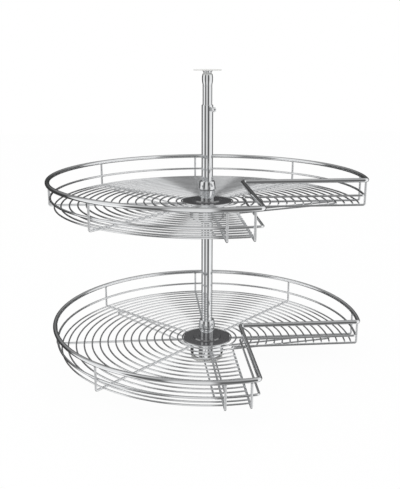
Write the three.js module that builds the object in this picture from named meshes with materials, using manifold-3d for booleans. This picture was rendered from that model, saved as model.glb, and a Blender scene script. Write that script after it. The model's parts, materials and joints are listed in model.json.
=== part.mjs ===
// Two-tier three-quarter carousel for a corner kitchen cabinet: chromed wire trays on a telescopic pole.
// Millimetres, +Z up. The origin is on the pole's axis, on the underside of the base plate.
// The open quadrant (the notch) of each tray lies between +X and -Y.
import * as THREE from "three";
import { mergeVertices } from "three/addons/utils/BufferGeometryUtils.js";
import Module from "manifold-3d";

// ---- Clearances ----
const SEAT_GAP = 0.3; // between two pieces that rest on, or are welded to, each other
const RUN_GAP = 0.3; // all round a piece that turns or slides in another
const WELD_SINK = 0.7; // how far two wires of the floor frame melt into each other

// ---- Wires (radii) ----
const RING_WIRE_R = 2.0;
const SPOKE_WIRE_R = 2.75;
const MID_WIRE_R = 2.75;
const STAY_WIRE_R = 2.25;
const RIM_WIRE_R = 5.5;

// ---- Tray plan ----
const RIM_R = 405; // centreline of the rim, and of the posts under it
const RIM_HEIGHT = 62.2; // rim centreline above the floor wires' centreline
const MID_HEIGHT = 23.2; // mid rail above the floor wires' centreline
const OUTER_RING_INSET = 15; // outermost floor ring inside the rim's centreline
const OUTER_RING_GAP = 16.1; // from that ring to the last of the evenly pitched ones
const FIRST_RING_R = 80.4;
const PITCHES = 14; // from the innermost floor ring to the last evenly pitched one
const EYE_RING_CLEARANCE = 1.1; // between the centre disc and the ring that frames it
const NOTCH_FLOOR = 61.5; // offset of the floor's edge wire from the axis
const NOTCH_RIM = 80; // offset of the rim's straight bars from the axis
const RING_OVERHANG = 1; // floor wires run this far past the edge wire's centreline
const POST_BEND_R = 4;
const NOTCH_BEND_R = 7;
const RIM_BEND_R = 9;
const SPOKE_ANGLES = [0, 45, 90, 135, 180, 225.4, 270.4];
const STAY_ANGLES = [0, 135, 270];

// ---- Stays: hairpin wires that brace a spoke from below ----
const STAY_HALF_WIDTH = 14;
const STAY_INSET = 65; // its closed end inside the rim's centreline
const STAY_BEND_R = 6;
const STAY_DROP = 34.5; // inner ends below the floor wires' centreline

// ---- Tray hub ----
const DISC_R = 63.4;
const DISC_TOP = 1.5; // above the floor wires' centreline
const BOSS_R = 34;
const BOSS_RISE = 2;
const CUP_R = 45;
const CUP_WALL = 2;
const CUP_CORNER = 3;
const CUP_DROP = 45; // underside of the cup below the floor wires' centreline
const WASHER_THICKNESS = 2;
const WASHER_R = 31;

// ---- Hub sleeve ----
const SLEEVE_WALL = 5.1;
const SLEEVE_FLANGE_R = 34;
const SLEEVE_FLANGE = 3;
const COLLAR_FOOT = 29; // heights above the floor wires' centreline
const COLLAR_WIDE = 34;
const COLLAR_SHOULDER = 44;
const COLLAR_TOP = 52.7;
const COLLAR_SWELL = 2.4; // of the collar's widest part over the sleeve
const COLLAR_SHOULDER_IN = 1.4; // from there to its shoulder
const COLLAR_TOP_WALL = 4.4;

// ---- Pole ----
const POLE_R = 14.6;
const POLE_WALL = 2.3;
const TOTAL_HEIGHT = 769;
const POLE_MOUTH_R = 1.2; // round of the pole's open end
const INNER_WALL = 1.5;
const INNER_SHOWN = 46; // of the inner tube above the pole
const INNER_LAP = 160; // how far the inner tube reaches down into the pole
const FERRULE_LENGTH = 40; // from the inner tube's end to the top of the fitting
const FERRULE_SWELL = 1.75; // over the inner tube
const FERRULE_RISE = 14; // from the tube's end to the full swelling
const SWELLING_LENGTH = 9;
const NECK_IN = 2.2; // under the inner tube's radius
const NECK_LENGTH = 9;
const FERRULE_FLANGE_OUT = 0.5; // over the inner tube
const FERRULE_FLANGE = 1.6;
const SPIGOT_LENGTH = 22;
const TOP_PLATE_R = 35;
const TOP_PLATE_THICKNESS = 2.6;
const BASE_R = 43;
const BASE_THICKNESS = 5;
const BASE_SPIGOT_HEIGHT = 45;
const FIXING_HOLE_R = 2.3;
const TOP_HOLES_INSET = 9; // fixing holes inside the plates' edges
const BASE_HOLES_INSET = 12;

// ---- Clamp screws, which face the notch: a cap screw in the pole, a set screw in each collar ----
const SCREW_R = 3;
const CAP_SCREW_ANGLE = -52;
const CAP_SCREW_BELOW_TOP = 11;
const CAP_SCREW_STANDOFF = 5.4; // pole surface to the head's underside
const CAP_R = 6;
const CAP_HEIGHT = 7;
const CAP_SOCKET_R = 2.6;
const SET_SCREW_ANGLE = -61;
const SET_SCREW_HEIGHT = 42.7; // above the floor wires' centreline
const SET_SCREW_LENGTH = 5.6;
const SET_SOCKET_R = 1.7;
const SOCKET_DEPTH = 3.5;

// ---- Tray heights (floor wires' centreline) ----
const TRAYS = [
  { name: "lower", floor: 56.8 },
  { name: "upper", floor: 437.3 },
];

// ---- Edges and cutters ----
const FINE_EDGE = 0.8; // chamfer of screws, collars and the top plate
const MOULDED_EDGE = 1.5; // chamfer of the base plate
const DISC_EDGE = 1;
const CUT_OVERRUN = 1; // how far a cutter passes the face it opens

// ---- Facets ----
const RING_SIDES = 5;
const WIRE_SIDES = 6;
const RIM_SIDES = 8;
const RING_SAG = 3.2; // most a ring's chord may leave its circle
const RIM_STEPS_PER_SPOKE = 4;
const FULL_RING_STEPS = 24;
const BEND_STEPS = 2;
const LATHE_STEPS = 22;
const TUBE_STEPS = 20;
const SCREW_STEPS = 10;

// ---- Looks ----
const chrome = () => new THREE.MeshStandardMaterial({ color: 0xd9dbde, roughness: 0.08, metalness: 1 });
const darkPlastic = () => new THREE.MeshStandardMaterial({ color: 0x3a3b3e, roughness: 0.1, metalness: 0 });
const palePlastic = () => new THREE.MeshStandardMaterial({ color: 0xe6e6e2, roughness: 0.5, metalness: 0 });

const wasm = await Module();
wasm.setup();

const radians = THREE.MathUtils.degToRad;
const vec = (x, y, z) => new THREE.Vector3(x, y, z);
const onCircle = (radius, degrees, z) =>
  vec(radius * Math.cos(radians(degrees)), radius * Math.sin(radians(degrees)), z);

// ---- Solids ----

function solidOf(geometry) {
  const bare = geometry.clone();
  bare.deleteAttribute("normal");
  bare.deleteAttribute("uv");
  const merged = mergeVertices(bare, 1e-4);
  return new wasm.Manifold(
    new wasm.Mesh({
      numProp: 3,
      vertProperties: merged.attributes.position.array,
      triVerts: new Uint32Array(merged.index.array),
    }),
  );
}

function geometryOf(solid) {
  const mesh = solid.getMesh();
  const geometry = new THREE.BufferGeometry();
  geometry.setAttribute("position", new THREE.BufferAttribute(mesh.vertProperties, 3));
  geometry.setIndex(new THREE.BufferAttribute(mesh.triVerts, 1));
  geometry.computeVertexNormals();
  return geometry;
}

function joined(geometries) {
  return geometryOf(geometries.map(solidOf).reduce((all, next) => all.add(next)));
}

function cutBy(geometry, cutters) {
  return geometryOf(cutters.map(solidOf).reduce((left, cutter) => left.subtract(cutter), solidOf(geometry)));
}

// A path through chosen stations: straight runs take one step, bends take several.
class StationPath extends THREE.Curve {
  constructor(stations) {
    super();
    this.stations = stations;
  }
  getPoint(t, target = vec(0, 0, 0)) {
    const place = t * (this.stations.length - 1);
    const from = Math.min(Math.floor(place), this.stations.length - 2);
    return target.lerpVectors(this.stations[from], this.stations[from + 1], place - from);
  }
  getUtoTmapping(u) {
    return u;
  }
}

function roundSection(radius, sides) {
  const corners = Array.from({ length: sides }, (_, i) => {
    const turn = (i / sides) * 2 * Math.PI;
    return new THREE.Vector2(radius * Math.cos(turn), radius * Math.sin(turn));
  });
  return new THREE.Shape(corners);
}

// A round wire swept along its stations.
function wire(stations, radius, sides = WIRE_SIDES) {
  return new THREE.ExtrudeGeometry(roundSection(radius, sides), {
    steps: stations.length - 1,
    bevelEnabled: false,
    extrudePath: new StationPath(stations),
  });
}

// Stations of a round bend from the run before a corner to the run after it.
function bend(before, corner, after, radius, steps = BEND_STEPS) {
  const back = before.clone().sub(corner).normalize();
  const on = after.clone().sub(corner).normalize();
  const half = back.angleTo(on) / 2;
  const centre = corner.clone().addScaledVector(back.clone().add(on).normalize(), radius / Math.sin(half));
  const start = corner.clone().addScaledVector(back, radius / Math.tan(half)).sub(centre);
  const end = corner.clone().addScaledVector(on, radius / Math.tan(half)).sub(centre);
  const sweep = start.angleTo(end);
  return Array.from({ length: steps + 1 }, (_, i) => {
    const share = (i / steps) * sweep;
    return centre
      .clone()
      .addScaledVector(start, Math.sin(sweep - share) / Math.sin(sweep))
      .addScaledVector(end, Math.sin(share) / Math.sin(sweep));
  });
}

// A turned piece about the Z axis. The outline is [radius, z] pairs, listed so that its faces point out.
function turned(outline, steps = LATHE_STEPS, closed = false) {
  const points = outline.map(([r, z]) => new THREE.Vector2(r, z));
  if (closed) points.push(points[0].clone());
  return new THREE.LatheGeometry(points, steps).rotateX(Math.PI / 2);
}

const turnedRing = (outline, steps) => turned(outline, steps, true);

// A plain pin about Z, as a cutter.
const pin = (radius, from, to) =>
  turned([[0, from], [radius, from], [radius, to], [0, to]], SCREW_STEPS);

// Cutters for a plate's three fixing holes, on a circle.
function fixingHoles(circleRadius, under, top) {
  return [90, 210, 330].map((degrees) => {
    const place = onCircle(circleRadius, degrees, 0);
    return pin(FIXING_HOLE_R, under - CUT_OVERRUN, top + CUT_OVERRUN).translate(place.x, place.y, 0);
  });
}

// Points a shape that was made along +Z outwards along +X, at a height and an azimuth.
const aimed = (geometry, height, degrees) =>
  geometry.rotateY(Math.PI / 2).rotateZ(radians(degrees)).translate(0, 0, height);

// Cuts a clamp screw's way through a round wall.
const screwHole = (innerR, outerR, height, degrees) =>
  aimed(pin(SCREW_R + RUN_GAP, innerR - CUT_OVERRUN, outerR + CUT_OVERRUN), height, degrees);

// ---- Tray wires ----

const SPOKE_Z = -(RING_WIRE_R + SPOKE_WIRE_R + SEAT_GAP);
const POST_TOP = RIM_HEIGHT - RIM_WIRE_R - SEAT_GAP;
const MID_R = RIM_R - SPOKE_WIRE_R - SEAT_GAP - MID_WIRE_R;
const WELDED_RING_Z = SPOKE_Z + RING_WIRE_R + SPOKE_WIRE_R - WELD_SINK;
const OUTER_RING_R = RIM_R - OUTER_RING_INSET;
const RING_PITCH = (OUTER_RING_R - OUTER_RING_GAP - FIRST_RING_R) / PITCHES;
const EYE_RING_R = DISC_R + EYE_RING_CLEARANCE + RING_WIRE_R;
const STAY_OUTER_R = RIM_R - STAY_INSET;
const alongEdge = (radius, offset) => Math.sqrt(radius * radius - offset * offset);

function ringStations(radius, z) {
  const reach = (Math.asin((NOTCH_FLOOR + RING_OVERHANG) / radius) * 180) / Math.PI;
  const sweep = 270 + 2 * reach;
  const step = (2 * Math.acos(1 - RING_SAG / radius) * 180) / Math.PI;
  const steps = Math.ceil(sweep / step);
  return Array.from({ length: steps + 1 }, (_, i) => onCircle(radius, -reach + (sweep * i) / steps, z));
}

const cutRing = (radius, z) => wire(ringStations(radius, z), RING_WIRE_R, RING_SIDES);

function fullRing(radius, z) {
  const section = Array.from({ length: RING_SIDES }, (_, i) => {
    const turn = (i / RING_SIDES) * 2 * Math.PI - Math.PI / 2;
    return [radius + RING_WIRE_R * Math.cos(turn), z + RING_WIRE_R * Math.sin(turn)];
  });
  return turnedRing(section, FULL_RING_STEPS);
}

// A spoke runs out from the cup under the floor wires and turns up as a post to the rim.
function spoke(degrees) {
  const inner = onCircle(CUP_R + SEAT_GAP, degrees, SPOKE_Z);
  const corner = onCircle(RIM_R, degrees, SPOKE_Z);
  const top = onCircle(RIM_R, degrees, POST_TOP);
  return wire([inner, ...bend(inner, corner, top, POST_BEND_R), top], SPOKE_WIRE_R);
}

// One wire edges the notch: up as a post, in along one side, round the corner and out along the other.
function notchEdge() {
  const far = alongEdge(RIM_R, NOTCH_FLOOR);
  const sideTop = vec(far, -NOTCH_FLOOR, POST_TOP);
  const sideFoot = vec(far, -NOTCH_FLOOR, SPOKE_Z);
  const corner = vec(NOTCH_FLOOR, -NOTCH_FLOOR, SPOKE_Z);
  const frontFoot = vec(NOTCH_FLOOR, -far, SPOKE_Z);
  const frontTop = vec(NOTCH_FLOOR, -far, POST_TOP);
  return wire(
    [
      sideTop,
      ...bend(sideTop, sideFoot, corner, POST_BEND_R),
      ...bend(sideFoot, corner, frontFoot, NOTCH_BEND_R),
      ...bend(corner, frontFoot, frontTop, POST_BEND_R),
      frontTop,
    ],
    SPOKE_WIRE_R,
  );
}

// The welded frame that carries the floor: spokes, notch edge and the three innermost rings.
function floorFrame() {
  return joined([
    ...SPOKE_ANGLES.map(spoke),
    notchEdge(),
    fullRing(EYE_RING_R, WELDED_RING_Z),
    fullRing(FIRST_RING_R, WELDED_RING_Z),
    cutRing(FIRST_RING_R + RING_PITCH, WELDED_RING_Z),
  ]);
}

const floorRadii = [
  ...Array.from({ length: PITCHES - 1 }, (_, i) => FIRST_RING_R + (i + 2) * RING_PITCH),
  OUTER_RING_R,
];

// A rail is one closed hoop: an arc over or inside the posts, and two straights along the notch.
// It is made in two halves that meet in the middle of the straights.
function rail(radius, z, wireR, bendR, sides) {
  const reach = (Math.asin(NOTCH_RIM / radius) * 180) / Math.PI;
  const steps = (SPOKE_ANGLES.length - 1) * RIM_STEPS_PER_SPOKE;
  const arc = Array.from({ length: steps + 1 }, (_, i) => onCircle(radius, (270 * i) / steps, z));
  const sideCorner = onCircle(radius, -reach, z);
  const frontCorner = onCircle(radius, 270 + reach, z);
  const notchCorner = vec(NOTCH_RIM, -NOTCH_RIM, z);
  const sideJoint = sideCorner.clone().lerp(notchCorner, 0.5);
  const frontJoint = frontCorner.clone().lerp(notchCorner, 0.5);
  const outer = [
    sideJoint,
    ...bend(sideJoint, sideCorner, arc[0], bendR),
    ...arc,
    ...bend(arc[steps], frontCorner, frontJoint, bendR),
    frontJoint,
  ];
  const inner = [sideJoint, ...bend(sideJoint, notchCorner, frontJoint, bendR), frontJoint];
  return joined([wire(outer, wireR, sides), wire(inner, wireR, sides)]);
}

const midRail = () => rail(MID_R, MID_HEIGHT, MID_WIRE_R, NOTCH_BEND_R, WIRE_SIDES);
const rim = () => rail(RIM_R, RIM_HEIGHT, RIM_WIRE_R, RIM_BEND_R, RIM_SIDES);

// A stay is a hairpin: its closed end sits under a spoke, its legs slope down to the cup.
function stay() {
  const outerZ = SPOKE_Z - SPOKE_WIRE_R - SEAT_GAP - STAY_WIRE_R;
  const innerX = alongEdge(CUP_R, STAY_HALF_WIDTH - STAY_WIRE_R) + SEAT_GAP;
  const near = vec(innerX, -STAY_HALF_WIDTH, -STAY_DROP);
  const nearCorner = vec(STAY_OUTER_R, -STAY_HALF_WIDTH, outerZ);
  const farCorner = vec(STAY_OUTER_R, STAY_HALF_WIDTH, outerZ);
  const far = vec(innerX, STAY_HALF_WIDTH, -STAY_DROP);
  return wire(
    [
      near,
      ...bend(near, nearCorner, farCorner, STAY_BEND_R),
      ...bend(nearCorner, farCorner, far, STAY_BEND_R),
      far,
    ],
    STAY_WIRE_R,
  );
}

// ---- Tray hub ----

const DISC_BOTTOM = SPOKE_Z + SPOKE_WIRE_R + SEAT_GAP;
const CUP_FLOOR = -CUP_DROP;
const WASHER_TOP = CUP_FLOOR - SEAT_GAP;
const FLANGE_TOP = WASHER_TOP - WASHER_THICKNESS - SEAT_GAP;
const POLE_SLIDE_R = POLE_R + RUN_GAP; // the sleeve's bore
const SLEEVE_R = POLE_SLIDE_R + SLEEVE_WALL;
const COLLAR_WIDE_R = SLEEVE_R + COLLAR_SWELL;
const COLLAR_TOP_R = POLE_SLIDE_R + COLLAR_TOP_WALL;
const HUB_BORE_R = SLEEVE_R + RUN_GAP; // of the pieces that turn on the sleeve

// The dark cover over the middle of the floor, with a low boss round the sleeve.
function centreDisc() {
  const bossTop = DISC_TOP + BOSS_RISE;
  return turnedRing([
    [HUB_BORE_R, DISC_BOTTOM],
    [DISC_R - DISC_EDGE, DISC_BOTTOM],
    [DISC_R, DISC_BOTTOM + DISC_EDGE],
    [DISC_R, DISC_TOP - DISC_EDGE],
    [DISC_R - DISC_EDGE, DISC_TOP],
    [BOSS_R, DISC_TOP],
    [BOSS_R - BOSS_RISE, bossTop],
    [HUB_BORE_R, bossTop],
  ]);
}

// The pressed cup under the disc turns on the sleeve and takes the inner ends of the stays.
function hubCup() {
  const top = DISC_BOTTOM - SEAT_GAP;
  return turnedRing([
    [HUB_BORE_R, CUP_FLOOR],
    [CUP_R - CUP_CORNER, CUP_FLOOR],
    [CUP_R, CUP_FLOOR + CUP_CORNER],
    [CUP_R, top],
    [CUP_R - CUP_WALL, top],
    [CUP_R - CUP_WALL, CUP_FLOOR + CUP_CORNER],
    [CUP_R - CUP_CORNER, CUP_FLOOR + CUP_WALL],
    [HUB_BORE_R, CUP_FLOOR + CUP_WALL],
  ]);
}

function thrustWasher() {
  return turnedRing([
    [HUB_BORE_R, WASHER_TOP - WASHER_THICKNESS],
    [WASHER_R, WASHER_TOP - WASHER_THICKNESS],
    [WASHER_R, WASHER_TOP],
    [HUB_BORE_R, WASHER_TOP],
  ]);
}

// The sleeve is clamped to the pole. Its flange carries the tray, its collar shows above the disc.
function hubSleeve() {
  const body = turnedRing([
    [POLE_SLIDE_R, FLANGE_TOP - SLEEVE_FLANGE],
    [SLEEVE_FLANGE_R - FINE_EDGE, FLANGE_TOP - SLEEVE_FLANGE],
    [SLEEVE_FLANGE_R, FLANGE_TOP - SLEEVE_FLANGE + FINE_EDGE],
    [SLEEVE_FLANGE_R, FLANGE_TOP],
    [SLEEVE_R, FLANGE_TOP],
    [SLEEVE_R, COLLAR_FOOT],
    [COLLAR_WIDE_R, COLLAR_FOOT + COLLAR_SWELL],
    [COLLAR_WIDE_R, COLLAR_WIDE],
    [COLLAR_WIDE_R - COLLAR_SHOULDER_IN, COLLAR_SHOULDER],
    [COLLAR_TOP_R, COLLAR_TOP - FINE_EDGE],
    [COLLAR_TOP_R - FINE_EDGE, COLLAR_TOP],
    [POLE_SLIDE_R, COLLAR_TOP],
  ]);
  return cutBy(body, [screwHole(POLE_SLIDE_R, COLLAR_WIDE_R, SET_SCREW_HEIGHT, SET_SCREW_ANGLE)]);
}

// The headless screw that clamps the sleeve to the pole lies flush in the collar.
function hubScrew() {
  const tip = POLE_R + SEAT_GAP;
  const end = tip + SET_SCREW_LENGTH;
  const screw = turned(
    [
      [0, tip],
      [SCREW_R - FINE_EDGE, tip],
      [SCREW_R, tip + FINE_EDGE],
      [SCREW_R, end],
      [SET_SOCKET_R, end],
      [SET_SOCKET_R, end - SOCKET_DEPTH],
      [0, end - SOCKET_DEPTH],
    ],
    SCREW_STEPS,
  );
  return aimed(screw, SET_SCREW_HEIGHT, SET_SCREW_ANGLE);
}

// ---- Pole ----

const POLE_BORE_R = POLE_R - POLE_WALL;
const INNER_R = POLE_BORE_R - RUN_GAP;
const INNER_BORE_R = INNER_R - INNER_WALL;
const FERRULE_START = TOTAL_HEIGHT - FERRULE_LENGTH;
const FERRULE_TOP = TOTAL_HEIGHT - TOP_PLATE_THICKNESS - SEAT_GAP;
const POLE_TOP = FERRULE_START - INNER_SHOWN;
const CAP_SCREW_Z = POLE_TOP - CAP_SCREW_BELOW_TOP;

function outerTube() {
  const foot = BASE_THICKNESS + SEAT_GAP;
  const tube = turnedRing(
    [
      [POLE_BORE_R, foot],
      [POLE_R, foot],
      [POLE_R, POLE_TOP - POLE_MOUTH_R],
      [POLE_R - POLE_MOUTH_R / 3, POLE_TOP - POLE_MOUTH_R / 3],
      [POLE_R - POLE_MOUTH_R, POLE_TOP],
      [POLE_BORE_R, POLE_TOP],
    ],
    TUBE_STEPS,
  );
  return cutBy(tube, [screwHole(POLE_BORE_R, POLE_R, CAP_SCREW_Z, CAP_SCREW_ANGLE)]);
}

function innerTube() {
  const foot = POLE_TOP - INNER_LAP;
  const top = FERRULE_START - SEAT_GAP;
  return turnedRing(
    [
      [INNER_BORE_R, foot],
      [INNER_R, foot],
      [INNER_R, top],
      [INNER_BORE_R, top],
    ],
    TUBE_STEPS,
  );
}

// The cap screw that clamps the inner tube in the pole.
function poleScrew() {
  const tip = INNER_R + SEAT_GAP;
  const capFrom = POLE_R + CAP_SCREW_STANDOFF;
  const end = capFrom + CAP_HEIGHT;
  const screw = turned(
    [
      [0, tip],
      [SCREW_R - FINE_EDGE, tip],
      [SCREW_R, tip + FINE_EDGE],
      [SCREW_R, capFrom],
      [CAP_R, capFrom],
      [CAP_R, end - FINE_EDGE],
      [CAP_R - FINE_EDGE, end],
      [CAP_SOCKET_R, end],
      [CAP_SOCKET_R, end - SOCKET_DEPTH],
      [0, end - SOCKET_DEPTH],
    ],
    SCREW_STEPS,
  );
  return aimed(screw, CAP_SCREW_Z, CAP_SCREW_ANGLE);
}

// The bulged end piece of the inner tube: a spigot inside it, a swelling, a neck and a small flange.
function topFerrule() {
  const spigotR = INNER_BORE_R - SEAT_GAP;
  const swellingR = INNER_R + FERRULE_SWELL;
  const swellingFrom = FERRULE_START + FERRULE_RISE;
  const neckR = INNER_R - NECK_IN;
  const neckFrom = FERRULE_TOP - NECK_LENGTH;
  const flangeR = INNER_R + FERRULE_FLANGE_OUT;
  return turned(
    [
      [0, FERRULE_START - SPIGOT_LENGTH],
      [spigotR, FERRULE_START - SPIGOT_LENGTH],
      [spigotR, FERRULE_START],
      [INNER_R, FERRULE_START],
      [INNER_R + FERRULE_SWELL / 2, FERRULE_START + FERRULE_RISE / 2],
      [swellingR, swellingFrom],
      [swellingR, swellingFrom + SWELLING_LENGTH],
      [INNER_R + FERRULE_SWELL / 3, neckFrom],
      [neckR, neckFrom + NECK_LENGTH / 2],
      [flangeR, FERRULE_TOP - FERRULE_FLANGE],
      [flangeR, FERRULE_TOP],
      [0, FERRULE_TOP],
    ],
    TUBE_STEPS,
  );
}

function topPlate() {
  const under = TOTAL_HEIGHT - TOP_PLATE_THICKNESS;
  const plate = turned([
    [0, under],
    [TOP_PLATE_R - FINE_EDGE, under],
    [TOP_PLATE_R, under + FINE_EDGE],
    [TOP_PLATE_R, TOTAL_HEIGHT],
    [0, TOTAL_HEIGHT],
  ]);
  return cutBy(plate, fixingHoles(TOP_PLATE_R - TOP_HOLES_INSET, under, TOTAL_HEIGHT));
}

// The foot is a round plate with a spigot that fills the pole's lower end.
function basePlate() {
  const spigotR = POLE_BORE_R - SEAT_GAP;
  const plate = turned([
    [0, 0],
    [BASE_R, 0],
    [BASE_R, BASE_THICKNESS - MOULDED_EDGE],
    [BASE_R - MOULDED_EDGE, BASE_THICKNESS],
    [spigotR, BASE_THICKNESS],
    [spigotR, BASE_SPIGOT_HEIGHT - MOULDED_EDGE],
    [spigotR - MOULDED_EDGE, BASE_SPIGOT_HEIGHT],
    [0, BASE_SPIGOT_HEIGHT],
  ]);
  return cutBy(plate, fixingHoles(BASE_R - BASE_HOLES_INSET, 0, BASE_THICKNESS));
}

// ---- Assembly ----

const carousel = new THREE.Group();

function place(parent, name, geometry, material) {
  const mesh = new THREE.Mesh(geometry, material);
  mesh.name = name;
  parent.add(mesh);
  return mesh;
}

function addPole() {
  place(carousel, "base_plate", basePlate(), palePlastic());
  place(carousel, "outer_tube", outerTube(), chrome());
  place(carousel, "clamp_screw", poleScrew(), chrome());
  place(carousel, "inner_tube", innerTube(), chrome());
  place(carousel, "top_ferrule", topFerrule(), chrome());
  place(carousel, "top_plate", topPlate(), palePlastic());
}

function addTray({ name, floor }) {
  const tray = new THREE.Group();
  tray.position.z = floor;
  carousel.add(tray);
  place(tray, name + "_floor_frame", floorFrame(), chrome());
  floorRadii.forEach((radius, i) => {
    const number = String(i + 1).padStart(2, "0");
    place(tray, name + "_floor_ring_" + number, cutRing(radius, 0), chrome());
  });
  place(tray, name + "_mid_rail", midRail(), chrome());
  place(tray, name + "_rim", rim(), chrome());
  STAY_ANGLES.forEach((degrees) => {
    const mesh = place(tray, name + "_stay_" + degrees, stay(), chrome());
    mesh.rotation.z = radians(degrees);
  });
  place(tray, name + "_centre_disc", centreDisc(), darkPlastic());
  place(tray, name + "_hub_cup", hubCup(), chrome());
  place(tray, name + "_thrust_washer", thrustWasher(), palePlastic());
  place(tray, name + "_hub_sleeve", hubSleeve(), chrome());
  place(tray, name + "_hub_screw", hubScrew(), chrome());
}

addPole();
TRAYS.forEach(addTray);

export default carousel;
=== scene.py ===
import json
import math

import bpy
import numpy as np
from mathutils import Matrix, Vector


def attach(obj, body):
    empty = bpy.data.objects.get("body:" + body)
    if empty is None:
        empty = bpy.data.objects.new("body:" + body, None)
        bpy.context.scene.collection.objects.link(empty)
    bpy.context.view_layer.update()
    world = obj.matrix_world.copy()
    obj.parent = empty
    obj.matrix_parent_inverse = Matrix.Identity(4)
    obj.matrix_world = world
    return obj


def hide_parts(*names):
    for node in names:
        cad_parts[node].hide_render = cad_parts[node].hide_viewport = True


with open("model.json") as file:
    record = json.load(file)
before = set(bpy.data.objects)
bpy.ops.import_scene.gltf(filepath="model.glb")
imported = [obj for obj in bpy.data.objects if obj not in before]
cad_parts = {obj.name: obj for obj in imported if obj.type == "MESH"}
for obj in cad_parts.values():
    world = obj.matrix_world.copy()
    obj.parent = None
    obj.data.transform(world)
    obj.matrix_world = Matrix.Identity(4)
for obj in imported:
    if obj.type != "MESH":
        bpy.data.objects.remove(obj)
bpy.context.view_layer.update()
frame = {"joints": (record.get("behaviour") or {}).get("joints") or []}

# A two-tier three-quarter carousel for a corner kitchen cabinet: chromed wire trays on a telescopic pole.
# Shapes are built in millimetres and degrees, and become metres in mesh(). A tray's pieces are built
# with z = 0 on the centreline of the CAD's floor wires. The open quadrant lies between +X and -Y.

MM = 0.001
GAP = 0.3  # between pieces that are mounted on each other
SPARE = 1.0  # a cutter goes this far past what it cuts
AXIS = 1.0  # a plate's outline starts and ends at this radius, with a flat face inside it
EDGE = 0.5  # the usual round of an edge

# ---- Wires (radii) ----
RING_WIRE = 2.0
SPOKE_WIRE = 2.75
MID_WIRE = 2.75
STAY_WIRE = 2.25
RIM_WIRE = 5.5
CUT_EDGE = 0.4  # broken edge of a wire's cut end

# ---- Tray ----
RIM_R = 405.0
RIM_Z = 62.2
MID_R = 399.45
MID_Z = 23.2
EYE_RING_R = 66.5
FIRST_RING_R = 80.4
RING_PITCH = 20.964
EVEN_RINGS = 15
FRAME_RINGS = 2  # so many of them, the innermost, belong to the frame, as the eye ring does
OUTER_RING_R = 390.0
RING_OVERHANG = 1.0  # past the notch wire
RING_PRESS = 0.05  # into the spokes
OPEN_FROM = 270.0  # degrees: the open quadrant runs from here to the full circle
NOTCH_FLOOR = 61.5  # from the pole's axis to the wire that edges the floor
NOTCH_RIM = 80.0  # and to the rim's bars
SPOKE_ANGLES = (0, 45, 90, 135, 180, 225.4, 270.4)
SPOKE_Z = -(RING_WIRE + SPOKE_WIRE + GAP)
RING_Z = -(GAP + RING_PRESS)
POST_SINK = 0.2  # into the rim
POST_TOP = RIM_Z - RIM_WIRE + POST_SINK
SPOKE_SINK = 0.2  # into the cup's wall
POST_BEND = 4.0
NOTCH_BEND = 7.0
RIM_BEND = 9.0
BEND_LEAD = 3.0  # degrees of a rail's arc that the bend next to it may take
STAY_ANGLES = (0, 135, 270)
STAY_BEND = 6.0
STAY_HALF = 14.0  # half the way between its two legs
STAY_OUTER_R = 340.0
STAY_OUTER_Z = -10.1
STAY_INNER_Z = -34.5
STAY_SINK = 0.3  # into the cup's wall

# ---- Welds: a bead's half lengths are along the radius, round the tray, and up ----
RING_BEAD = (1.9, 2.0, 0.9)
MID_BEAD = (0.9, 2.0, 2.0)
STAY_BEAD = (2.2, 2.0, 0.9)
FOOT_BEAD = (1.8, 3.3, 3.3)
FOOT_BEAD_OUT = 0.3  # from the cup's wall to its middle
BEAD_ROWS = (12, 36, 60, 90, 120, 144, 168)  # degrees from its lowest point
BEAD_SIDES = 10
POST_FLARE = 3.9  # radius of the weld round a post at the rim
POST_FLARE_SINK = 0.5
SPOKE_FLARE = 3.7  # and of the one round a spoke at the cup
SPOKE_FLARE_SINK = 0.1
FLARE_LENGTH = 2.4
FLARE_ROOT = 0.6
FLARE_WAIST = (0.4, 0.35)  # its share of the spread, at this share of the length
FLARE_SIDES = 16

# ---- Pole ----
POLE_R = 14.6
POLE_BORE = 12.3
BASE_R = 43.0
BASE_TOP = 5.0
BASE_ROUND = 1.8
BASE_HOLES_R = 31.0
BASE_SPIGOT_R = POLE_BORE - GAP
BASE_SPIGOT_TOP = 45.0
BASE_SPIGOT_ROUND = 1.5
BASE_SPIGOT_FILLET = 1.0
POLE_FOOT = BASE_TOP + GAP
POLE_TOP = 683.0
POLE_MOUTH = 1.2  # round at the outside of its mouth
INNER_R = POLE_BORE - GAP
INNER_BORE = 10.5
INNER_FOOT = 523.0
INNER_MOUTH = 0.6
BORE_EDGE = 0.3
FERRULE_START = 729.0
FERRULE_TOP = 766.1
FERRULE_SPIGOT = 22.0
FERRULE_SEAM = 0.1  # between the ferrule and the tube's end
FERRULE_CHAMFER = 0.4
TOTAL = 769.0
PLATE_UNDER = FERRULE_TOP + GAP
PLATE_R = 35.0
PLATE_ROUND = 1.0
PLATE_HOLES_R = 26.0
HOLE_ANGLES = (90, 210, 330)
FIXING_HOLE = 2.3
FIXING_SINK = 4.3

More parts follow.
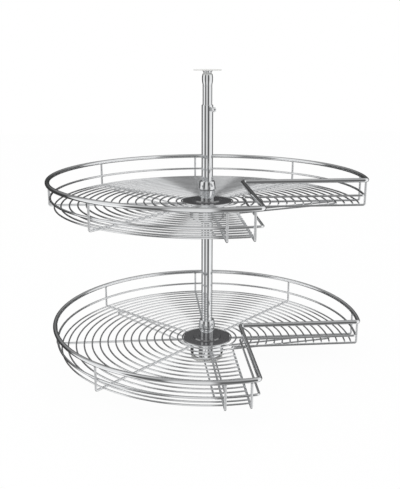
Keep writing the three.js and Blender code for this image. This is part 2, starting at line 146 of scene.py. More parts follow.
# ---- Hub ----
SLEEVE_R = 20.0
SLEEVE_BORE = POLE_R + GAP
HUB_BORE = SLEEVE_R + GAP
DISC_R = 63.4
DISC_BOTTOM = -2.0
DISC_TOP = 1.5
DISC_ROUND = 1.6
DISC_UNDER_ROUND = 0.8
BOSS_FOOT_R = 38.7
BOSS_R = 36.5
BOSS_TOP = 5.0
BOSS_FILLET = 0.4
CUP_R = 45.0
CUP_TOP = DISC_BOTTOM - GAP
CUP_BOTTOM = -45.0
CUP_WALL = 2.0
CUP_ROUND = 4.0
CUP_HOLE_EDGE = 0.4
WASHER_R = 31.0
WASHER_TOP = CUP_BOTTOM - GAP
WASHER_BOTTOM = WASHER_TOP - 2.0
FLANGE_R = 34.0
FLANGE_TOP = WASHER_BOTTOM - GAP
FLANGE_BOTTOM = FLANGE_TOP - 3.0
FLANGE_ROUND = 0.8
COLLAR_FOOT = 29.0
COLLAR_FOOT_ROUND = 1.5
COLLAR_WIDE = 34.0
COLLAR_WIDE_R = 22.4
COLLAR_UNDER_ROUND = 3.0
COLLAR_WIDE_ROUND = 8.0
COLLAR_SHOULDER = 44.0
COLLAR_SHOULDER_R = 21.0
COLLAR_SHOULDER_ROUND = 10.0
COLLAR_TOP = 52.7
COLLAR_TOP_R = 19.3
COLLAR_TOP_ROUND = 1.4

# ---- Screws: the cap screw in the pole, and a set screw in each collar ----
SCREW_R = 3.0
SOCKET_DEPTH = 3.5
SOCKET_CHAMFER = 0.35
THREAD_DEPTH = 0.35
THREAD_PITCH = 1.0
THREAD_CREST = 1.5  # over 1, which makes the crests round
CAP_ANGLE = -52.0
CAP_Z = 672.0
CAP_TIP = POLE_BORE
CAP_POINT = (0.8, 0.6)  # its chamfer: in, and up to the thread
CAP_FROM = 20.0
CAP_END = 27.0
CAP_R = 6.0
CAP_FLATS = 5.0
CAP_CHAMFER = 0.5
CAP_EDGE = ((0.3, 1.0), (0.5, 0.4), (1.0, 0.0))  # of its end: in from the side, down from the face
KNURLS = 18
KNURL_DEPTH = 0.3
KNURL_TOP = 1.6  # below the end
SET_ANGLE = -61.0
SET_Z = 42.7
SET_TIP = SLEEVE_BORE
SET_POINT = (1.0, 0.7)
SET_END = 20.5
SET_EDGE = (0.5, 0.4)
SET_FLATS = 3.0

# ---- Where the trays stand: each turns about a joint that is level with its floor wires ----
TRAYS = [
    (tray, joint["pos_m"][2] / MM)
    for tray in ("lower", "upper")
    for joint in frame["joints"]
    if joint["name"] == f"{tray}_tray_spin"
]

# ---- Fineness ----
ARC_STEP = 2.5
BEND_STEPS = 8
ROUND_STEPS = 5
WIRE_HOLD = 1.0  # smooth shading keeps a straight run straight from this far beside its bend
EDGE_HOLD = 0.4  # and a turned piece's runs from this far beside their rounds
HELD_RUN = 4 * EDGE_HOLD  # a shorter run is left as it is
WIRE_SIDES = 12
RIM_SIDES = 24
LATHE_STEPS = 96
HOLE_STEPS = 32
SCREW_STEPS = 48
THREAD_ROWS = 8  # in a turn
SAME_POINT = 0.01
UPRIGHT = 0.1  # a direction whose level share is below this is upright
SHARP = 35  # degrees at an edge that isn't shaded smooth


def vec(x, y, z):
    return np.array([x, y, z], float)


def unit(v):
    return v / np.linalg.norm(v)


def on_circle(radius, degrees, z=0.0):
    turn = math.radians(degrees)
    return vec(radius * math.cos(turn), radius * math.sin(turn), z)


def arc(radius, start, end, z):
    count = max(2, math.ceil(abs(end - start) / ARC_STEP))
    return [on_circle(radius, start + (end - start) * i / count, z) for i in range(count + 1)]


def bend(before, corner, after, radius, steps=BEND_STEPS):
    """Points of a round bend from the run before a corner to the run after it, and one more on each run."""
    back = unit(before - corner)
    on = unit(after - corner)
    half = math.acos(float(np.clip(back @ on, -1, 1))) / 2
    centre = corner + unit(back + on) * radius / math.sin(half)
    start = corner + back * radius / math.tan(half) - centre
    end = corner + on * radius / math.tan(half) - centre
    sweep = math.acos(float(np.clip(unit(start) @ unit(end), -1, 1)))
    shares = [sweep * i / steps for i in range(steps + 1)]
    return [
        centre + start + back * WIRE_HOLD,
        *(centre + (start * math.sin(sweep - s) + end * math.sin(s)) / math.sin(sweep) for s in shares),
        centre + end + on * WIRE_HOLD,
    ]


# ---- Surfaces: each is a pair of its points and its faces ----


def loft(rings, closed=False):
    """Joins rings of points into one skin. It is closed on itself, or by a flat face at each end."""
    sides = len(rings[0])
    points = np.concatenate(rings)
    faces = []
    for i in range(len(rings) if closed else len(rings) - 1):
        a = i * sides
        b = (i + 1) % len(rings) * sides
        for j in range(sides):
            k = (j + 1) % sides
            faces.append((a + j, a + k, b + k, b + j))
    if not closed:
        faces.append(tuple(range(sides - 1, -1, -1)))
        faces.append(tuple(range(len(points) - sides, len(points))))
    return points, faces


def apart(path, closed):
    """A path less the points that lie on the one before them."""
    points = [path[0]]
    for p in path[1:]:
        if np.linalg.norm(p - points[-1]) > SAME_POINT:
            points.append(p)
    if closed and np.linalg.norm(points[0] - points[-1]) < SAME_POINT:
        points.pop()
    return points


def directions(points, closed):
    """The way that a path runs at each of its points."""
    steps = [unit(b - a) for a, b in zip(points, [*points[1:], points[0]])]
    if closed:
        return [unit(steps[i - 1] + step) for i, step in enumerate(steps)]
    return [steps[0], *(unit(a + b) for a, b in zip(steps, steps[1:-1])), steps[-2]]


def wire(path, radius, sides=WIRE_SIDES, closed=False):
    """A round wire along a path. An open one has cut ends with broken edges."""
    points = apart(path, closed)
    along = directions(points, closed)
    level = np.cross(along[0], vec(0, 0, 1))
    side = unit(level) if np.linalg.norm(level) > UPRIGHT else vec(1, 0, 0)
    turns = np.arange(sides) / sides * 2 * math.pi
    rings = []
    for i, (p, t) in enumerate(zip(points, along)):
        side = unit(side - (side @ t) * t)
        spread = np.outer(np.cos(turns), side) + np.outer(np.sin(turns), np.cross(t, side))
        if closed or 0 < i < len(points) - 1:
            rings.append(p + spread * radius)
            continue
        inward = t if i == 0 else -t
        cut_end = [p + spread * (radius - CUT_EDGE), p + inward * CUT_EDGE + spread * radius]
        rings += cut_end if i == 0 else cut_end[::-1]
    return loft(rings, closed)


def held(outline, closed):
    """An outline with two more points on each long run, just inside its ends, to keep its shading."""
    made = []
    for i, start in enumerate(outline):
        made.append(start)
        end = outline[(i + 1) % len(outline)]
        run = math.dist(start, end)
        if run > HELD_RUN and (closed or i < len(outline) - 1):
            for share in (EDGE_HOLD / run, 1 - EDGE_HOLD / run):
                made.append(tuple(a + (b - a) * share for a, b in zip(start, end)))
    return made


def rounded(corners, closed):
    """An outline of (radius, z) corners, with a round at each corner that has a third number, its radius."""
    outline = []
    for i, corner in enumerate(corners):
        if len(corner) == 2:
            outline.append(corner)
            continue
        neighbours = (corners[i - 1], corner, corners[(i + 1) % len(corners)])
        flat = [vec(c[0], 0, c[1]) for c in neighbours]
        outline += [(p[0], p[2]) for p in bend(*flat, corner[2], ROUND_STEPS)[1:-1]]
    return held(outline, closed)


def turned(outline, steps=LATHE_STEPS, closed=False):
    """A turned piece about Z. The outline is listed so that its faces point out."""
    degrees = [360 * j / steps for j in range(steps)]
    return loft([[on_circle(r, d, z) for d in degrees] for r, z in outline], closed)


def turned_ring(*corners):
    return turned(rounded(corners, True), closed=True)


def turned_solid(*corners):
    return turned(rounded(corners, False))


def aimed(part, direction, origin):
    """Turns a part that was made along +Z so that it points along a direction, from an origin."""
    points, faces = part
    z = unit(direction)
    level = np.cross(vec(0, 0, 1), z)
    x = unit(level) if np.linalg.norm(level) > UPRIGHT else vec(1, 0, 0)
    return points @ np.array([x, np.cross(z, x), z]) + origin, faces


def turned_about_z(part, degrees):
    points, faces = part
    c = math.cos(math.radians(degrees))
    s = math.sin(math.radians(degrees))
    return points @ np.array([[c, s, 0], [-s, c, 0], [0, 0, 1]]), faces


def bead(centre, sizes, degrees=0.0):
    """A weld bead: an egg with these half lengths, turned about Z."""
    outline = [(math.sin(math.radians(a)), -math.cos(math.radians(a))) for a in BEAD_ROWS]
    points, faces = turned(outline, BEAD_SIDES)
    return turned_about_z((points * np.array(sizes), faces), degrees)[0] + centre, faces


def flare(origin, direction, inner, outer):
    """A weld round a wire's end: it narrows from its foot at the origin to the wire."""
    spread, up = FLARE_WAIST
    outline = [
        (outer, -FLARE_ROOT),
        (outer, 0),
        (inner + (outer - inner) * spread, FLARE_LENGTH * up),
        (inner, FLARE_LENGTH),
    ]
    return aimed(turned(outline, FLARE_SIDES), direction, origin)


# ---- Materials ----


def new_node(tree, kind, **inputs):
    made = tree.nodes.new(kind)
    for name, value in inputs.items():
        made.inputs[name].default_value = value
    return made


def map_range(tree, value, low, high, start=0, end=1):
    ends = {"From Min": low, "From Max": high, "To Min": start, "To Max": end}
    made = new_node(tree, "ShaderNodeMapRange", **ends)
    tree.links.new(value, made.inputs["Value"])
    return made.outputs["Result"]


def colour_ramp(tree, value, stops):
    """A colour by a value. The stops are pairs of a position and its colour."""
    made = new_node(tree, "ShaderNodeValToRGB")
    elements = made.color_ramp.elements
    while len(elements) < len(stops):
        elements.new(0.5)
    for element, (position, colour) in zip(elements, stops):
        element.position = position
        element.color = (*colour, 1)
    tree.links.new(value, made.inputs["Fac"])
    return made.outputs["Color"]


PATCH_DETAIL, GRAIN_DETAIL = 4, 3
PATCH_LOW, PATCH_HIGH = 0.3, 0.7  # the noise runs between these from a patch's first tone to its second


def finish(name, colours, roughness, patch, grain, height, metallic=0.0, ior=1.45):
    """A surface whose tone and gloss wander a little in patches, under a fine grain.
    The patches and the grain have a scale each, and the grain a height in millimetres."""
    made = bpy.data.materials.new(name)
    made.use_nodes = True
    tree = made.node_tree
    shader = tree.nodes["Principled BSDF"]
    shader.inputs["Metallic"].default_value = metallic
    shader.inputs["IOR"].default_value = ior
    coordinates = new_node(tree, "ShaderNodeTexCoord")
    patches = new_node(tree, "ShaderNodeTexNoise", Scale=patch, Detail=PATCH_DETAIL)
    fine = new_node(tree, "ShaderNodeTexNoise", Scale=grain, Detail=GRAIN_DETAIL)
    for noise in (patches, fine):
        tree.links.new(coordinates.outputs["Object"], noise.inputs["Vector"])
    wander = patches.outputs["Fac"]
    tint = colour_ramp(tree, wander, list(zip((PATCH_LOW, PATCH_HIGH), colours)))
    gloss = map_range(tree, wander, PATCH_LOW, PATCH_HIGH, *roughness)
    bump = new_node(tree, "ShaderNodeBump", Strength=1.0, Distance=height * MM)
    tree.links.new(fine.outputs["Fac"], bump.inputs["Height"])
    tree.links.new(tint, shader.inputs["Base Color"])
    tree.links.new(gloss, shader.inputs["Roughness"])
    tree.links.new(bump.outputs["Normal"], shader.inputs["Normal"])
    return made


CHROME = finish(
    "chrome",
    ((0.80, 0.81, 0.82), (0.86, 0.87, 0.88)),
    roughness=(0.02, 0.06), patch=30, grain=400, height=0.003, metallic=1,
)
WELD = finish(
    "weld",
    ((0.62, 0.63, 0.64), (0.74, 0.75, 0.76)),
    roughness=(0.16, 0.30), patch=300, grain=900, height=0.05, metallic=1,
)
GLOSS_DARK = finish(
    "gloss_dark",
    ((0.040, 0.041, 0.044), (0.050, 0.051, 0.054)),
    roughness=(0.02, 0.05), patch=40, grain=700, height=0.003, ior=2.8,
)
PALE = finish(
    "pale",
    ((0.74, 0.74, 0.72), (0.78, 0.78, 0.76)),
    roughness=(0.42, 0.52), patch=60, grain=1500, height=0.02,
)


# ---- Pieces ----


def shade(data):
    data.shade_smooth()
    data.set_sharp_from_angle(angle=math.radians(SHARP))


def mesh(name, material, *parts):
    points = []
    faces = []
    for part_points, part_faces in parts:
        start = sum(len(p) for p in points)
        points.append(part_points)
        faces += [tuple(k + start for k in face) for face in part_faces]
    made = bpy.data.meshes.new(name)
    made.from_pydata((np.concatenate(points) * MM).tolist(), [], faces)
    shade(made)
    made.materials.append(material)
    return made


def cut(data, *cutters):
    """The mesh less these parts."""
    solid = bpy.data.objects.new("solid", data)
    tool = bpy.data.objects.new("tool", mesh("tool", data.materials[0], *cutters))
    for made in (solid, tool):
        bpy.context.scene.collection.objects.link(made)
    step = solid.modifiers.new("cut", "BOOLEAN")
    step.operation = "DIFFERENCE"
    step.solver = "EXACT"
    step.object = tool
    bpy.context.view_layer.update()
    result = bpy.data.meshes.new_from_object(solid.evaluated_get(bpy.context.evaluated_depsgraph_get()))
    result.name = data.name
    for made in (solid, tool):
        bpy.data.objects.remove(made)
    shade(result)
    return result


def place(name, data, body, slot, replaced, z=0.0):
    """Puts a mesh in the scene, on a body, for the CAD node that it replaces, if it does."""
    made = bpy.data.objects.new(name, data)
    made.location.z = z * MM
    bpy.context.scene.collection.objects.link(made)
    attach(made, body)
    if replaced:
        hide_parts(replaced)


# ---- Tray wires ----

RING_RADII = [FIRST_RING_R + i * RING_PITCH for i in range(EVEN_RINGS)] + [OUTER_RING_R]


def edge_angle(radius, offset):
    """The angle at which a circle crosses a line that runs this far beside the axis."""
    return math.degrees(math.asin(offset / radius))


def along_edge(radius, offset):
    """How far along that line it crosses."""
    return math.sqrt(radius * radius - offset * offset)


def ring_wire(radius):
    """A floor wire: a whole ring if it passes inside the notch's corner, or an arc past the notch wire."""
    if radius < math.hypot(NOTCH_FLOOR, NOTCH_FLOOR):
        return wire(arc(radius, 0, 360, RING_Z), RING_WIRE, closed=True)
    reach = edge_angle(radius, NOTCH_FLOOR + RING_OVERHANG)
    return wire(arc(radius, -reach, OPEN_FROM + reach, RING_Z), RING_WIRE)


def spoke_wire(degrees):
    inner = on_circle(CUP_R - SPOKE_SINK, degrees, SPOKE_Z)
    corner = on_circle(RIM_R, degrees, SPOKE_Z)
    top = on_circle(RIM_R, degrees, POST_TOP)
    return wire([inner, *bend(inner, corner, top, POST_BEND), top], SPOKE_WIRE)


def notch_wire():
    far = along_edge(RIM_R, NOTCH_FLOOR)
    side_top = vec(far, -NOTCH_FLOOR, POST_TOP)
    side_foot = vec(far, -NOTCH_FLOOR, SPOKE_Z)
    corner = vec(NOTCH_FLOOR, -NOTCH_FLOOR, SPOKE_Z)
    front_foot = vec(NOTCH_FLOOR, -far, SPOKE_Z)
    front_top = vec(NOTCH_FLOOR, -far, POST_TOP)
    path = [
        side_top,
        *bend(side_top, side_foot, corner, POST_BEND),
        *bend(side_foot, corner, front_foot, NOTCH_BEND),
        *bend(corner, front_foot, front_top, POST_BEND),
        front_top,
    ]
    return wire(path, SPOKE_WIRE)


def floor_frame():
    """The wires that are one welded piece: the spokes, the notch wire and the innermost rings."""
    rings = [EYE_RING_R, *RING_RADII[:FRAME_RINGS]]
    return [*(spoke_wire(a) for a in SPOKE_ANGLES), notch_wire(), *(ring_wire(r) for r in rings)]


def rail(radius, z, wire_r, bend_r, sides):
    """One closed hoop: an arc past the posts and two straights along the notch."""
    reach = edge_angle(radius, NOTCH_RIM)
    start = -reach + BEND_LEAD
    end = OPEN_FROM + reach - BEND_LEAD
    side_corner = on_circle(radius, -reach, z)
    front_corner = on_circle(radius, OPEN_FROM + reach, z)
    notch_corner = vec(NOTCH_RIM, -NOTCH_RIM, z)
    path = [
        *bend(notch_corner, side_corner, on_circle(radius, start, z), bend_r),
        *arc(radius, start, end, z),
        *bend(on_circle(radius, end, z), front_corner, notch_corner, bend_r),
        *bend(front_corner, notch_corner, side_corner, bend_r),
    ]
    return wire(path, wire_r, sides, closed=True)


def stay(degrees):
    """A hairpin that runs from the cup out under a spoke and back."""
    inner_x = along_edge(CUP_R, STAY_HALF) - STAY_SINK
    near = vec(inner_x, -STAY_HALF, STAY_INNER_Z)
    near_corner = vec(STAY_OUTER_R, -STAY_HALF, STAY_OUTER_Z)
    far_corner = vec(STAY_OUTER_R, STAY_HALF, STAY_OUTER_Z)
    far = vec(inner_x, STAY_HALF, STAY_INNER_Z)
    path = [
        near,
        *bend(near, near_corner, far_corner, STAY_BEND),
        *bend(near_corner, far_corner, far, STAY_BEND),
        far,
    ]
    return turned_about_z(wire(path, STAY_WIRE), degrees)


def ring_welds():
    z = SPOKE_Z + SPOKE_WIRE
    out, round_tray, up = RING_BEAD
    parts = []
    for radius in [EYE_RING_R, *RING_RADII]:
        parts += [bead(on_circle(radius, a, z), RING_BEAD, a) for a in SPOKE_ANGLES]
    for radius in RING_RADII[1:]:
        far = along_edge(radius, NOTCH_FLOOR)
        parts.append(bead(vec(far, -NOTCH_FLOOR, z), RING_BEAD))
        parts.append(bead(vec(NOTCH_FLOOR, -far, z), (round_tray, out, up)))
    return parts


def post_welds():
    """Beads between the posts and the mid rail, and flares where the posts meet the rim."""
    notch_posts = edge_angle(RIM_R, NOTCH_FLOOR)
    parts = []
    for degrees in (*SPOKE_ANGLES, -notch_posts, OPEN_FROM + notch_posts):
        top = on_circle(RIM_R, degrees, RIM_Z - RIM_WIRE + POST_FLARE_SINK)
        parts.append(bead(on_circle((MID_R + RIM_R) / 2, degrees, MID_Z), MID_BEAD, degrees))
        parts.append(flare(top, vec(0, 0, -1), SPOKE_WIRE, POST_FLARE))
    return parts


def cup_welds():
    """Flares where the spokes meet the cup, and the beads at both ends of the stays."""
    foot_x = along_edge(CUP_R, STAY_HALF) + FOOT_BEAD_OUT
    parts = []
    for degrees in SPOKE_ANGLES:
        root = on_circle(CUP_R - SPOKE_FLARE_SINK, degrees, SPOKE_Z)
        parts.append(flare(root, on_circle(1, degrees), SPOKE_WIRE, SPOKE_FLARE))
    for degrees in STAY_ANGLES:
        parts.append(bead(on_circle(STAY_OUTER_R, degrees, SPOKE_Z - SPOKE_WIRE), STAY_BEAD, degrees))
        for side in (-STAY_HALF, STAY_HALF):
            parts.append(turned_about_z(bead(vec(foot_x, side, STAY_INNER_Z), FOOT_BEAD), degrees))
    return parts


# ---- Screws ----


def screw_hole(bore, outside, z, degrees):
    """A cutter for a screw's hole through a wall, from its bore to its outside."""
    outline = [(SCREW_R + GAP, bore - SPARE), (SCREW_R + GAP, outside + SPARE)]
    return aimed(turned(outline, SCREW_STEPS), on_circle(1, degrees), vec(0, 0, z))


def plain(radius):
    return lambda degrees: radius


def hexagon(flats):
    """A radius that runs round a hexagon of this width across flats."""
    return lambda degrees: flats / 2 / math.cos(math.radians((degrees % 60) - 30))


def knurled(degrees):
    return CAP_R - KNURL_DEPTH * (0.5 + 0.5 * math.cos(math.radians(degrees * KNURLS)))


def threaded(z):
    """The radius round a screw at a height, where the helix of its thread passes."""
    def radius(degrees):
        share = (z / THREAD_PITCH - degrees / 360) % 1
        return SCREW_R - THREAD_DEPTH * (1 - abs(2 * share - 1)) ** THREAD_CREST
    return radius


def thread(start, end):
    count = int((end - start) / THREAD_PITCH * THREAD_ROWS)
    heights = [start + (end - start) * i / count for i in range(count + 1)]
    return [(threaded(z), z) for z in heights]


def screw(rows, end, flats):
    """A screw along +Z: rows of a radius round it and a height, up to an end face with a hexagon socket."""
    degrees = np.arange(SCREW_STEPS) * 360 / SCREW_STEPS
    rings = [[on_circle(radius(d), d, z) for d in degrees] for radius, z in rows]
    socket = hexagon(flats)
    for wider, depth in ((SOCKET_CHAMFER, 0), (0, SOCKET_CHAMFER), (0, SOCKET_DEPTH)):
        rings.append([on_circle(socket(d) + wider, d, end - depth) for d in degrees])
    return loft(rings)


def cap_screw():
    inward, up = CAP_POINT
    rows = [
        (plain(SCREW_R - inward), CAP_TIP),
        *thread(CAP_TIP + up, CAP_FROM),
        (plain(CAP_R - CAP_CHAMFER), CAP_FROM),
        (knurled, CAP_FROM + CAP_CHAMFER),
        (knurled, CAP_END - KNURL_TOP),
        *((plain(CAP_R - inset), CAP_END - depth) for inset, depth in CAP_EDGE),
    ]
    return aimed(screw(rows, CAP_END, CAP_FLATS), on_circle(1, CAP_ANGLE), vec(0, 0, CAP_Z))


def set_screw():
    inward, up = SET_POINT
    inset, depth = SET_EDGE
    rows = [
        (plain(SCREW_R - inward), SET_TIP),
        *thread(SET_TIP + up, SET_END - depth),
        (plain(SCREW_R - inset), SET_END),
    ]
    return aimed(screw(rows, SET_END, SET_FLATS), on_circle(1, SET_ANGLE), vec(0, 0, SET_Z))


# ---- Hub ----


def disc():
    return turned_ring(
        (HUB_BORE, DISC_BOTTOM),
        (DISC_R, DISC_BOTTOM, DISC_UNDER_ROUND),
        (DISC_R, DISC_TOP, DISC_ROUND),
        (BOSS_FOOT_R, DISC_TOP, BOSS_FILLET),
        (BOSS_R, BOSS_TOP, EDGE),
        (HUB_BORE, BOSS_TOP, EDGE),
    )


def cup():
    return turned_ring(
        (HUB_BORE, CUP_BOTTOM, CUP_HOLE_EDGE),
        (CUP_R, CUP_BOTTOM, CUP_ROUND),
        (CUP_R, CUP_TOP, EDGE),
        (CUP_R - CUP_WALL, CUP_TOP, EDGE),
        (CUP_R - CUP_WALL, CUP_BOTTOM + CUP_WALL, CUP_ROUND - CUP_WALL),
        (HUB_BORE, CUP_BOTTOM + CUP_WALL),
    )


def washer():
    return turned_ring(
        (HUB_BORE, WASHER_BOTTOM),
        (WASHER_R, WASHER_BOTTOM, EDGE),
        (WASHER_R, WASHER_TOP, EDGE),
        (HUB_BORE, WASHER_TOP),
    )


def sleeve():
    """The flange that carries the tray, and the collar that shows above the disc."""
    return turned_ring(
        (SLEEVE_BORE, FLANGE_BOTTOM, EDGE),
        (FLANGE_R, FLANGE_BOTTOM, FLANGE_ROUND),
        (FLANGE_R, FLANGE_TOP, EDGE),
        (SLEEVE_R, FLANGE_TOP),
        (SLEEVE_R, COLLAR_FOOT, COLLAR_FOOT_ROUND),
        (COLLAR_WIDE_R, COLLAR_FOOT + COLLAR_WIDE_R - SLEEVE_R, COLLAR_UNDER_ROUND),
        (COLLAR_WIDE_R, COLLAR_WIDE, COLLAR_WIDE_ROUND),
        (COLLAR_SHOULDER_R, COLLAR_SHOULDER, COLLAR_SHOULDER_ROUND),
        (COLLAR_TOP_R, COLLAR_TOP, COLLAR_TOP_ROUND),
        (SLEEVE_BORE, COLLAR_TOP, EDGE),
    )


# ---- Pole ----


def tube(bore, radius, foot, top, mouth):
    return turned_ring(
        (bore, foot, BORE_EDGE),
        (radius, foot, EDGE),
        (radius, top, mouth),
        (bore, top, BORE_EDGE),
    )


# The ferrule swells, narrows to a neck and ends in a bead. The pairs are how far it is wider than the
# tube, and how far above its start or below its top.
FERRULE_BULGE = ((0.1, 4), (0.9, 8), (1.5, 12), (1.75, 16), (1.7, 21), (1.3, 25))
FERRULE_NECK = ((0.6, 9), (-0.8, 6.6), (-1.8, 5.2), (-2.2, 4.0), (-1.9, 2.8), (-0.6, 2.0))
FERRULE_BEAD = ((0.2, 1.6), (0.5, 1.2), (0.5, 0.4), (0.1, 0))


def ferrule():
    return turned([
        (INNER_BORE - GAP, FERRULE_START - FERRULE_SPIGOT),
        (INNER_BORE - GAP, FERRULE_START),
        (INNER_R - FERRULE_CHAMFER, FERRULE_START),
        (INNER_R, FERRULE_START + FERRULE_CHAMFER),
        *((INNER_R + wider, FERRULE_START + up) for wider, up in FERRULE_BULGE),
        *((INNER_R + wider, FERRULE_TOP - down) for wider, down in (*FERRULE_NECK, *FERRULE_BEAD)),
    ])


def fixing_holes(circle, hidden, shown, wide, deep):
    """Cutters for a plate's screw holes, from its hidden face to the one that shows. There each has a
    countersink, which is this deep and keeps its full width down to the other depth."""
    way = math.copysign(1, shown - hidden)
    outline = [
        (FIXING_HOLE, hidden - way * SPARE),
        (FIXING_HOLE, shown - way * deep),
        (FIXING_SINK, shown - way * wide),
        (FIXING_SINK, shown + way * SPARE),
    ]
    points, faces = turned(sorted(outline, key=lambda corner: corner[1]), HOLE_STEPS)
    return [(points + on_circle(circle, a), faces) for a in HOLE_ANGLES]


def top_plate():
    return turned_solid(
        (AXIS, PLATE_UNDER),
        (PLATE_R, PLATE_UNDER, PLATE_ROUND),
        (PLATE_R, TOTAL, EDGE),
        (AXIS, TOTAL),
    )


def foot_plate():
    return turned_solid(
        (AXIS, 0),
        (BASE_R, 0, EDGE),
        (BASE_R, BASE_TOP, BASE_ROUND),
        (BASE_SPIGOT_R, BASE_TOP, BASE_SPIGOT_FILLET),
        (BASE_SPIGOT_R, BASE_SPIGOT_TOP, BASE_SPIGOT_ROUND),
        (AXIS, BASE_SPIGOT_TOP),
    )


# ---- The pole's pieces: (name, mesh, body, slot, CAD node) ----

foot_mesh = cut(
    mesh("foot_plate", PALE, foot_plate()),
    *fixing_holes(BASE_HOLES_R, hidden=0, shown=BASE_TOP, wide=0.2, deep=2.2),
)
pole_mesh = cut(
    mesh("pole_tube", CHROME, tube(POLE_BORE, POLE_R, POLE_FOOT, POLE_TOP, POLE_MOUTH)),
    screw_hole(POLE_BORE, POLE_R, CAP_Z, CAP_ANGLE),
)
inner_tube = tube(INNER_BORE, INNER_R, INNER_FOOT, FERRULE_START - FERRULE_SEAM, INNER_MOUTH)
inner_mesh = mesh("pole_inner_tube", CHROME, inner_tube)
ferrule_mesh = mesh("pole_ferrule", CHROME, ferrule())
top_mesh = cut(
    mesh("pole_top_plate", PALE, top_plate()),
    *fixing_holes(PLATE_HOLES_R, hidden=TOTAL, shown=PLATE_UNDER, wide=0.1, deep=1.9),
)
cap_screw_mesh = mesh("pole_cap_screw", CHROME, cap_screw())

POLE_PIECES = (
    ("foot_plate", foot_mesh, "pole", "pale_plastic", "base_plate"),
    ("pole_tube", pole_mesh, "pole", "chrome_tube", "outer_tube"),
    ("pole_inner_tube", inner_mesh, "telescope", "chrome_tube", "inner_tube"),
    ("pole_ferrule", ferrule_mesh, "telescope", "chrome_tube", "top_ferrule"),
    ("pole_top_plate", top_mesh, "telescope", "pale_plastic", "top_plate"),
    ("pole_cap_screw", cap_screw_mesh, "clamp_screw", "chrome_screw", "clamp_screw"),
)

for piece in POLE_PIECES:
    place(*piece)

# ---- The trays' pieces, with the tray's name to come before the names: both trays share their meshes ----

ring_meshes = [
    mesh(f"tray_ring_{i:02d}", CHROME, ring_wire(radius))
    for i, radius in enumerate(RING_RADII[FRAME_RINGS:], 1)
]
sleeve_mesh = cut(
    mesh("tray_sleeve", CHROME, sleeve()),
    screw_hole(SLEEVE_BORE, COLLAR_WIDE_R, SET_Z, SET_ANGLE),
)
rim = rail(RIM_R, RIM_Z, RIM_WIRE, RIM_BEND, RIM_SIDES)
mid_rail = rail(MID_R, MID_Z, MID_WIRE, NOTCH_BEND, WIRE_SIDES)
welds = [*ring_welds(), *post_welds(), *cup_welds()]

TRAY_PIECES = (
    ("frame_wires", mesh("tray_frame", CHROME, *floor_frame()), "tray", "chrome_wire", "floor_frame"),
    *(
        (f"ring_wire_{i:02d}", ring_mesh, "tray", "chrome_wire", f"floor_ring_{i:02d}")
        for i, ring_mesh in enumerate(ring_meshes, 1)
    ),
    ("mid_hoop", mesh("tray_mid_rail", CHROME, mid_rail), "tray", "chrome_wire", "mid_rail"),
    ("rim_hoop", mesh("tray_rim", CHROME, rim), "tray", "chrome_rim", "rim"),
    *(
        (f"stay_wire_{a}", mesh(f"tray_stay_{a}", CHROME, stay(a)), "tray", "chrome_wire", f"stay_{a}")
        for a in STAY_ANGLES
    ),
    ("weld_beads", mesh("tray_welds", WELD, *welds), "tray", "chrome_wire", None),
    ("cover_disc", mesh("tray_disc", GLOSS_DARK, disc()), "tray", "dark_plastic", "centre_disc"),
    ("bearing_cup", mesh("tray_cup", CHROME, cup()), "tray", "chrome_tube", "hub_cup"),
    ("bearing_washer", mesh("tray_washer", PALE, washer()), "hub", "pale_plastic", "thrust_washer"),
    ("sleeve", sleeve_mesh, "hub", "chrome_tube", "hub_sleeve"),
    ("set_screw", mesh("tray_set_screw", CHROME, set_screw()), "hub_screw", "chrome_screw", "hub_screw"),
)

for tray, floor_z in TRAYS:
    for name, data, body, slot, replaced in TRAY_PIECES:
        place(f"{tray}_{name}", data, f"{tray}_{body}", slot, replaced and f"{tray}_{replaced}", floor_z)


# ---- Floor, in metres ----

FLOOR_HALF = 6.0
FLOOR_DROP = 0.0005
FLOOR_TONE = 0.9
FLOOR_WHITE = 0.94  # the share of plain white that the camera sees, over the shadows


def plain_floor():
    data = bpy.data.meshes.new("floor")
    corners = [(x * FLOOR_HALF, y * FLOOR_HALF, 0) for x, y in ((-1, -1), (1, -1), (1, 1), (-1, 1))]
    data.from_pydata(corners, [], [(0, 1, 2, 3)])
    made = bpy.data.objects.new("floor", data)
    made.location.z = -FLOOR_DROP
    bpy.context.scene.collection.objects.link(made)
    pale = bpy.data.materials.new("floor")
    pale.use_nodes = True
    tree = pale.node_tree
    tree.nodes.clear()
    matt = new_node(tree, "ShaderNodeBsdfDiffuse", Color=(FLOOR_TONE, FLOOR_TONE, FLOOR_TONE, 1))
    white = new_node(tree, "ShaderNodeEmission", Color=(1, 1, 1, 1), Strength=1.0)
    path = new_node(tree, "ShaderNodeLightPath")
    share = new_node(tree, "ShaderNodeMath")
    share.operation = "MULTIPLY"
    share.inputs[1].default_value = FLOOR_WHITE
    mix = new_node(tree, "ShaderNodeMixShader")
    out = new_node(tree, "ShaderNodeOutputMaterial")
    tree.links.new(path.outputs["Is Camera Ray"], share.inputs[0])
    for socket, source in enumerate((share, matt, white)):
        tree.links.new(source.outputs[0], mix.inputs[socket])
    tree.links.new(mix.outputs[0], out.inputs["Surface"])
    data.materials.append(pale)
    made.visible_glossy = False


# ---- World ----

# The studio round the object as its chrome shows it: three light panels and the dark between them.
# The stops are (degrees, tone), going round to the right from the side that the camera stands on.
REAR, BETWEEN = 0.05, 0.12
LEFT, MIDDLE, RIGHT = 0.92, 0.77, 0.92
STUDIO = (
    (-180, REAR), (-109, REAR), (-102, LEFT), (-62, LEFT), (-55, BETWEEN), (-31, BETWEEN), (-24, MIDDLE),
    (3, MIDDLE), (10, BETWEEN), (39, BETWEEN), (46, RIGHT), (111, RIGHT), (118, REAR), (180, REAR),
)
FRONT = -95.4  # degrees from +X to the camera's side
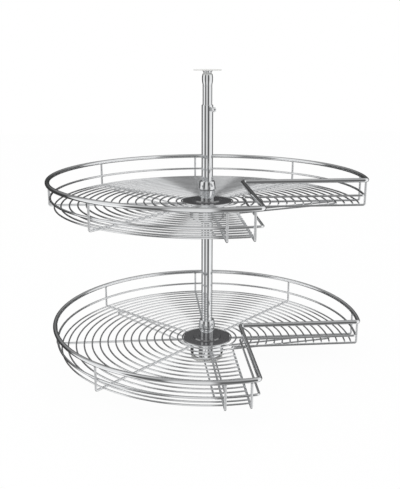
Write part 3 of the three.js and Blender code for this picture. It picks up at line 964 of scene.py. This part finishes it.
# Tones by height, which is the sine of the angle above the horizon, or below it, and grow over a span.
CEILING, CEILING_SPAN = 0.44, (0.06, 0.75)  # the dark grows up to this tone towards the ceiling
FLOOR_GAIN, FLOOR_SPAN = 1.2, (0.1, 0.5)  # the floor before the panels, against the panels
ENDS, ENDS_SPAN = 0.4, (0.8, 1)  # straight up and straight down
FILL = 1.0  # what everything but the mirrors gets
BACKDROP = 1.0  # what the camera sees


def studio():
    world = bpy.data.worlds.new("studio")
    bpy.context.scene.world = world
    world.use_nodes = True
    tree = world.node_tree
    tree.nodes.clear()

    def fill_in(socket, value):
        if isinstance(value, bpy.types.NodeSocket):
            tree.links.new(value, socket)
        else:
            socket.default_value = value

    def calculated(operation, *values):
        made = new_node(tree, "ShaderNodeMath")
        made.operation = operation
        for socket, value in zip(made.inputs, values):
            fill_in(socket, value)
        return made.outputs[0]

    def mixed(share, a, b):
        """Tone a, or tone b where the share is 1."""
        made = new_node(tree, "ShaderNodeMix")
        made.data_type = "FLOAT"
        for name, value in (("Factor", share), ("A", a), ("B", b)):
            fill_in(next(s for s in made.inputs if s.name == name and s.type == "VALUE"), value)
        return next(s for s in made.outputs if s.type == "VALUE")

    direction = new_node(tree, "ShaderNodeTexCoord")
    split = new_node(tree, "ShaderNodeSeparateXYZ")
    tree.links.new(direction.outputs["Generated"], split.inputs[0])
    height = split.outputs["Z"]
    turn = calculated("DIVIDE", calculated("ARCTAN2", split.outputs["Y"], split.outputs["X"]), 2 * math.pi)
    turn = calculated("FRACT", calculated("SUBTRACT", turn, FRONT / 360 + 0.5))
    panels = colour_ramp(tree, turn, [((degrees + 180) / 360, (tone,) * 3) for degrees, tone in STUDIO])
    gain = map_range(tree, calculated("MULTIPLY", height, -1), *FLOOR_SPAN, 1, FLOOR_GAIN)
    glow = map_range(tree, height, *CEILING_SPAN, 0, CEILING)
    seen = calculated("MAXIMUM", calculated("MULTIPLY", panels, gain), glow)
    seen = mixed(map_range(tree, calculated("ABSOLUTE", height), *ENDS_SPAN), seen, ENDS)
    path = new_node(tree, "ShaderNodeLightPath")
    mirrored = calculated("MAXIMUM", path.outputs["Is Glossy Ray"], path.outputs["Is Transmission Ray"])
    light = mixed(mirrored, FILL, seen)
    light = mixed(path.outputs["Is Camera Ray"], light, BACKDROP)
    ground = new_node(tree, "ShaderNodeBackground")
    out = new_node(tree, "ShaderNodeOutputWorld")
    tree.links.new(light, ground.inputs["Color"])
    tree.links.new(ground.outputs[0], out.inputs["Surface"])


# ---- Lamp, in metres ----

LAMP_AT = Vector((-1.3, -1.6, 2.2))
LAMP_AIM = Vector((0, 0, 0.4))
LAMP_SIDE = 1.4
LAMP_WATTS = 12


def soft_lamp():
    data = bpy.data.lights.new("key", "AREA")
    data.size = LAMP_SIDE
    data.energy = LAMP_WATTS
    made = bpy.data.objects.new("key", data)
    made.location = LAMP_AT
    made.rotation_euler = (LAMP_AIM - LAMP_AT).to_track_quat("-Z", "Y").to_euler()
    made.visible_glossy = False
    bpy.context.scene.collection.objects.link(made)


# ---- Camera, in metres, as it was solved from the photograph: it looks this far to the right and down ----

EYE = (-0.1672, -1.7655, 0.7944)
LOOK_RIGHT = math.radians(4.81)
LOOK_DOWN = math.radians(15.0)
SENSOR_HEIGHT = 36
LENS = 51.03


def camera():
    look = Vector((
        math.sin(LOOK_RIGHT) * math.cos(LOOK_DOWN),
        math.cos(LOOK_RIGHT) * math.cos(LOOK_DOWN),
        -math.sin(LOOK_DOWN),
    ))
    data = bpy.data.cameras.new("camera")
    data.sensor_fit = "VERTICAL"
    data.sensor_height = SENSOR_HEIGHT
    data.lens = LENS
    made = bpy.data.objects.new("camera", data)
    made.location = EYE
    made.rotation_euler = look.to_track_quat("-Z", "Y").to_euler()
    bpy.context.scene.collection.objects.link(made)
    bpy.context.scene.camera = made


plain_floor()
studio()
soft_lamp()
camera()
bpy.context.scene.view_settings.view_transform = "Standard"
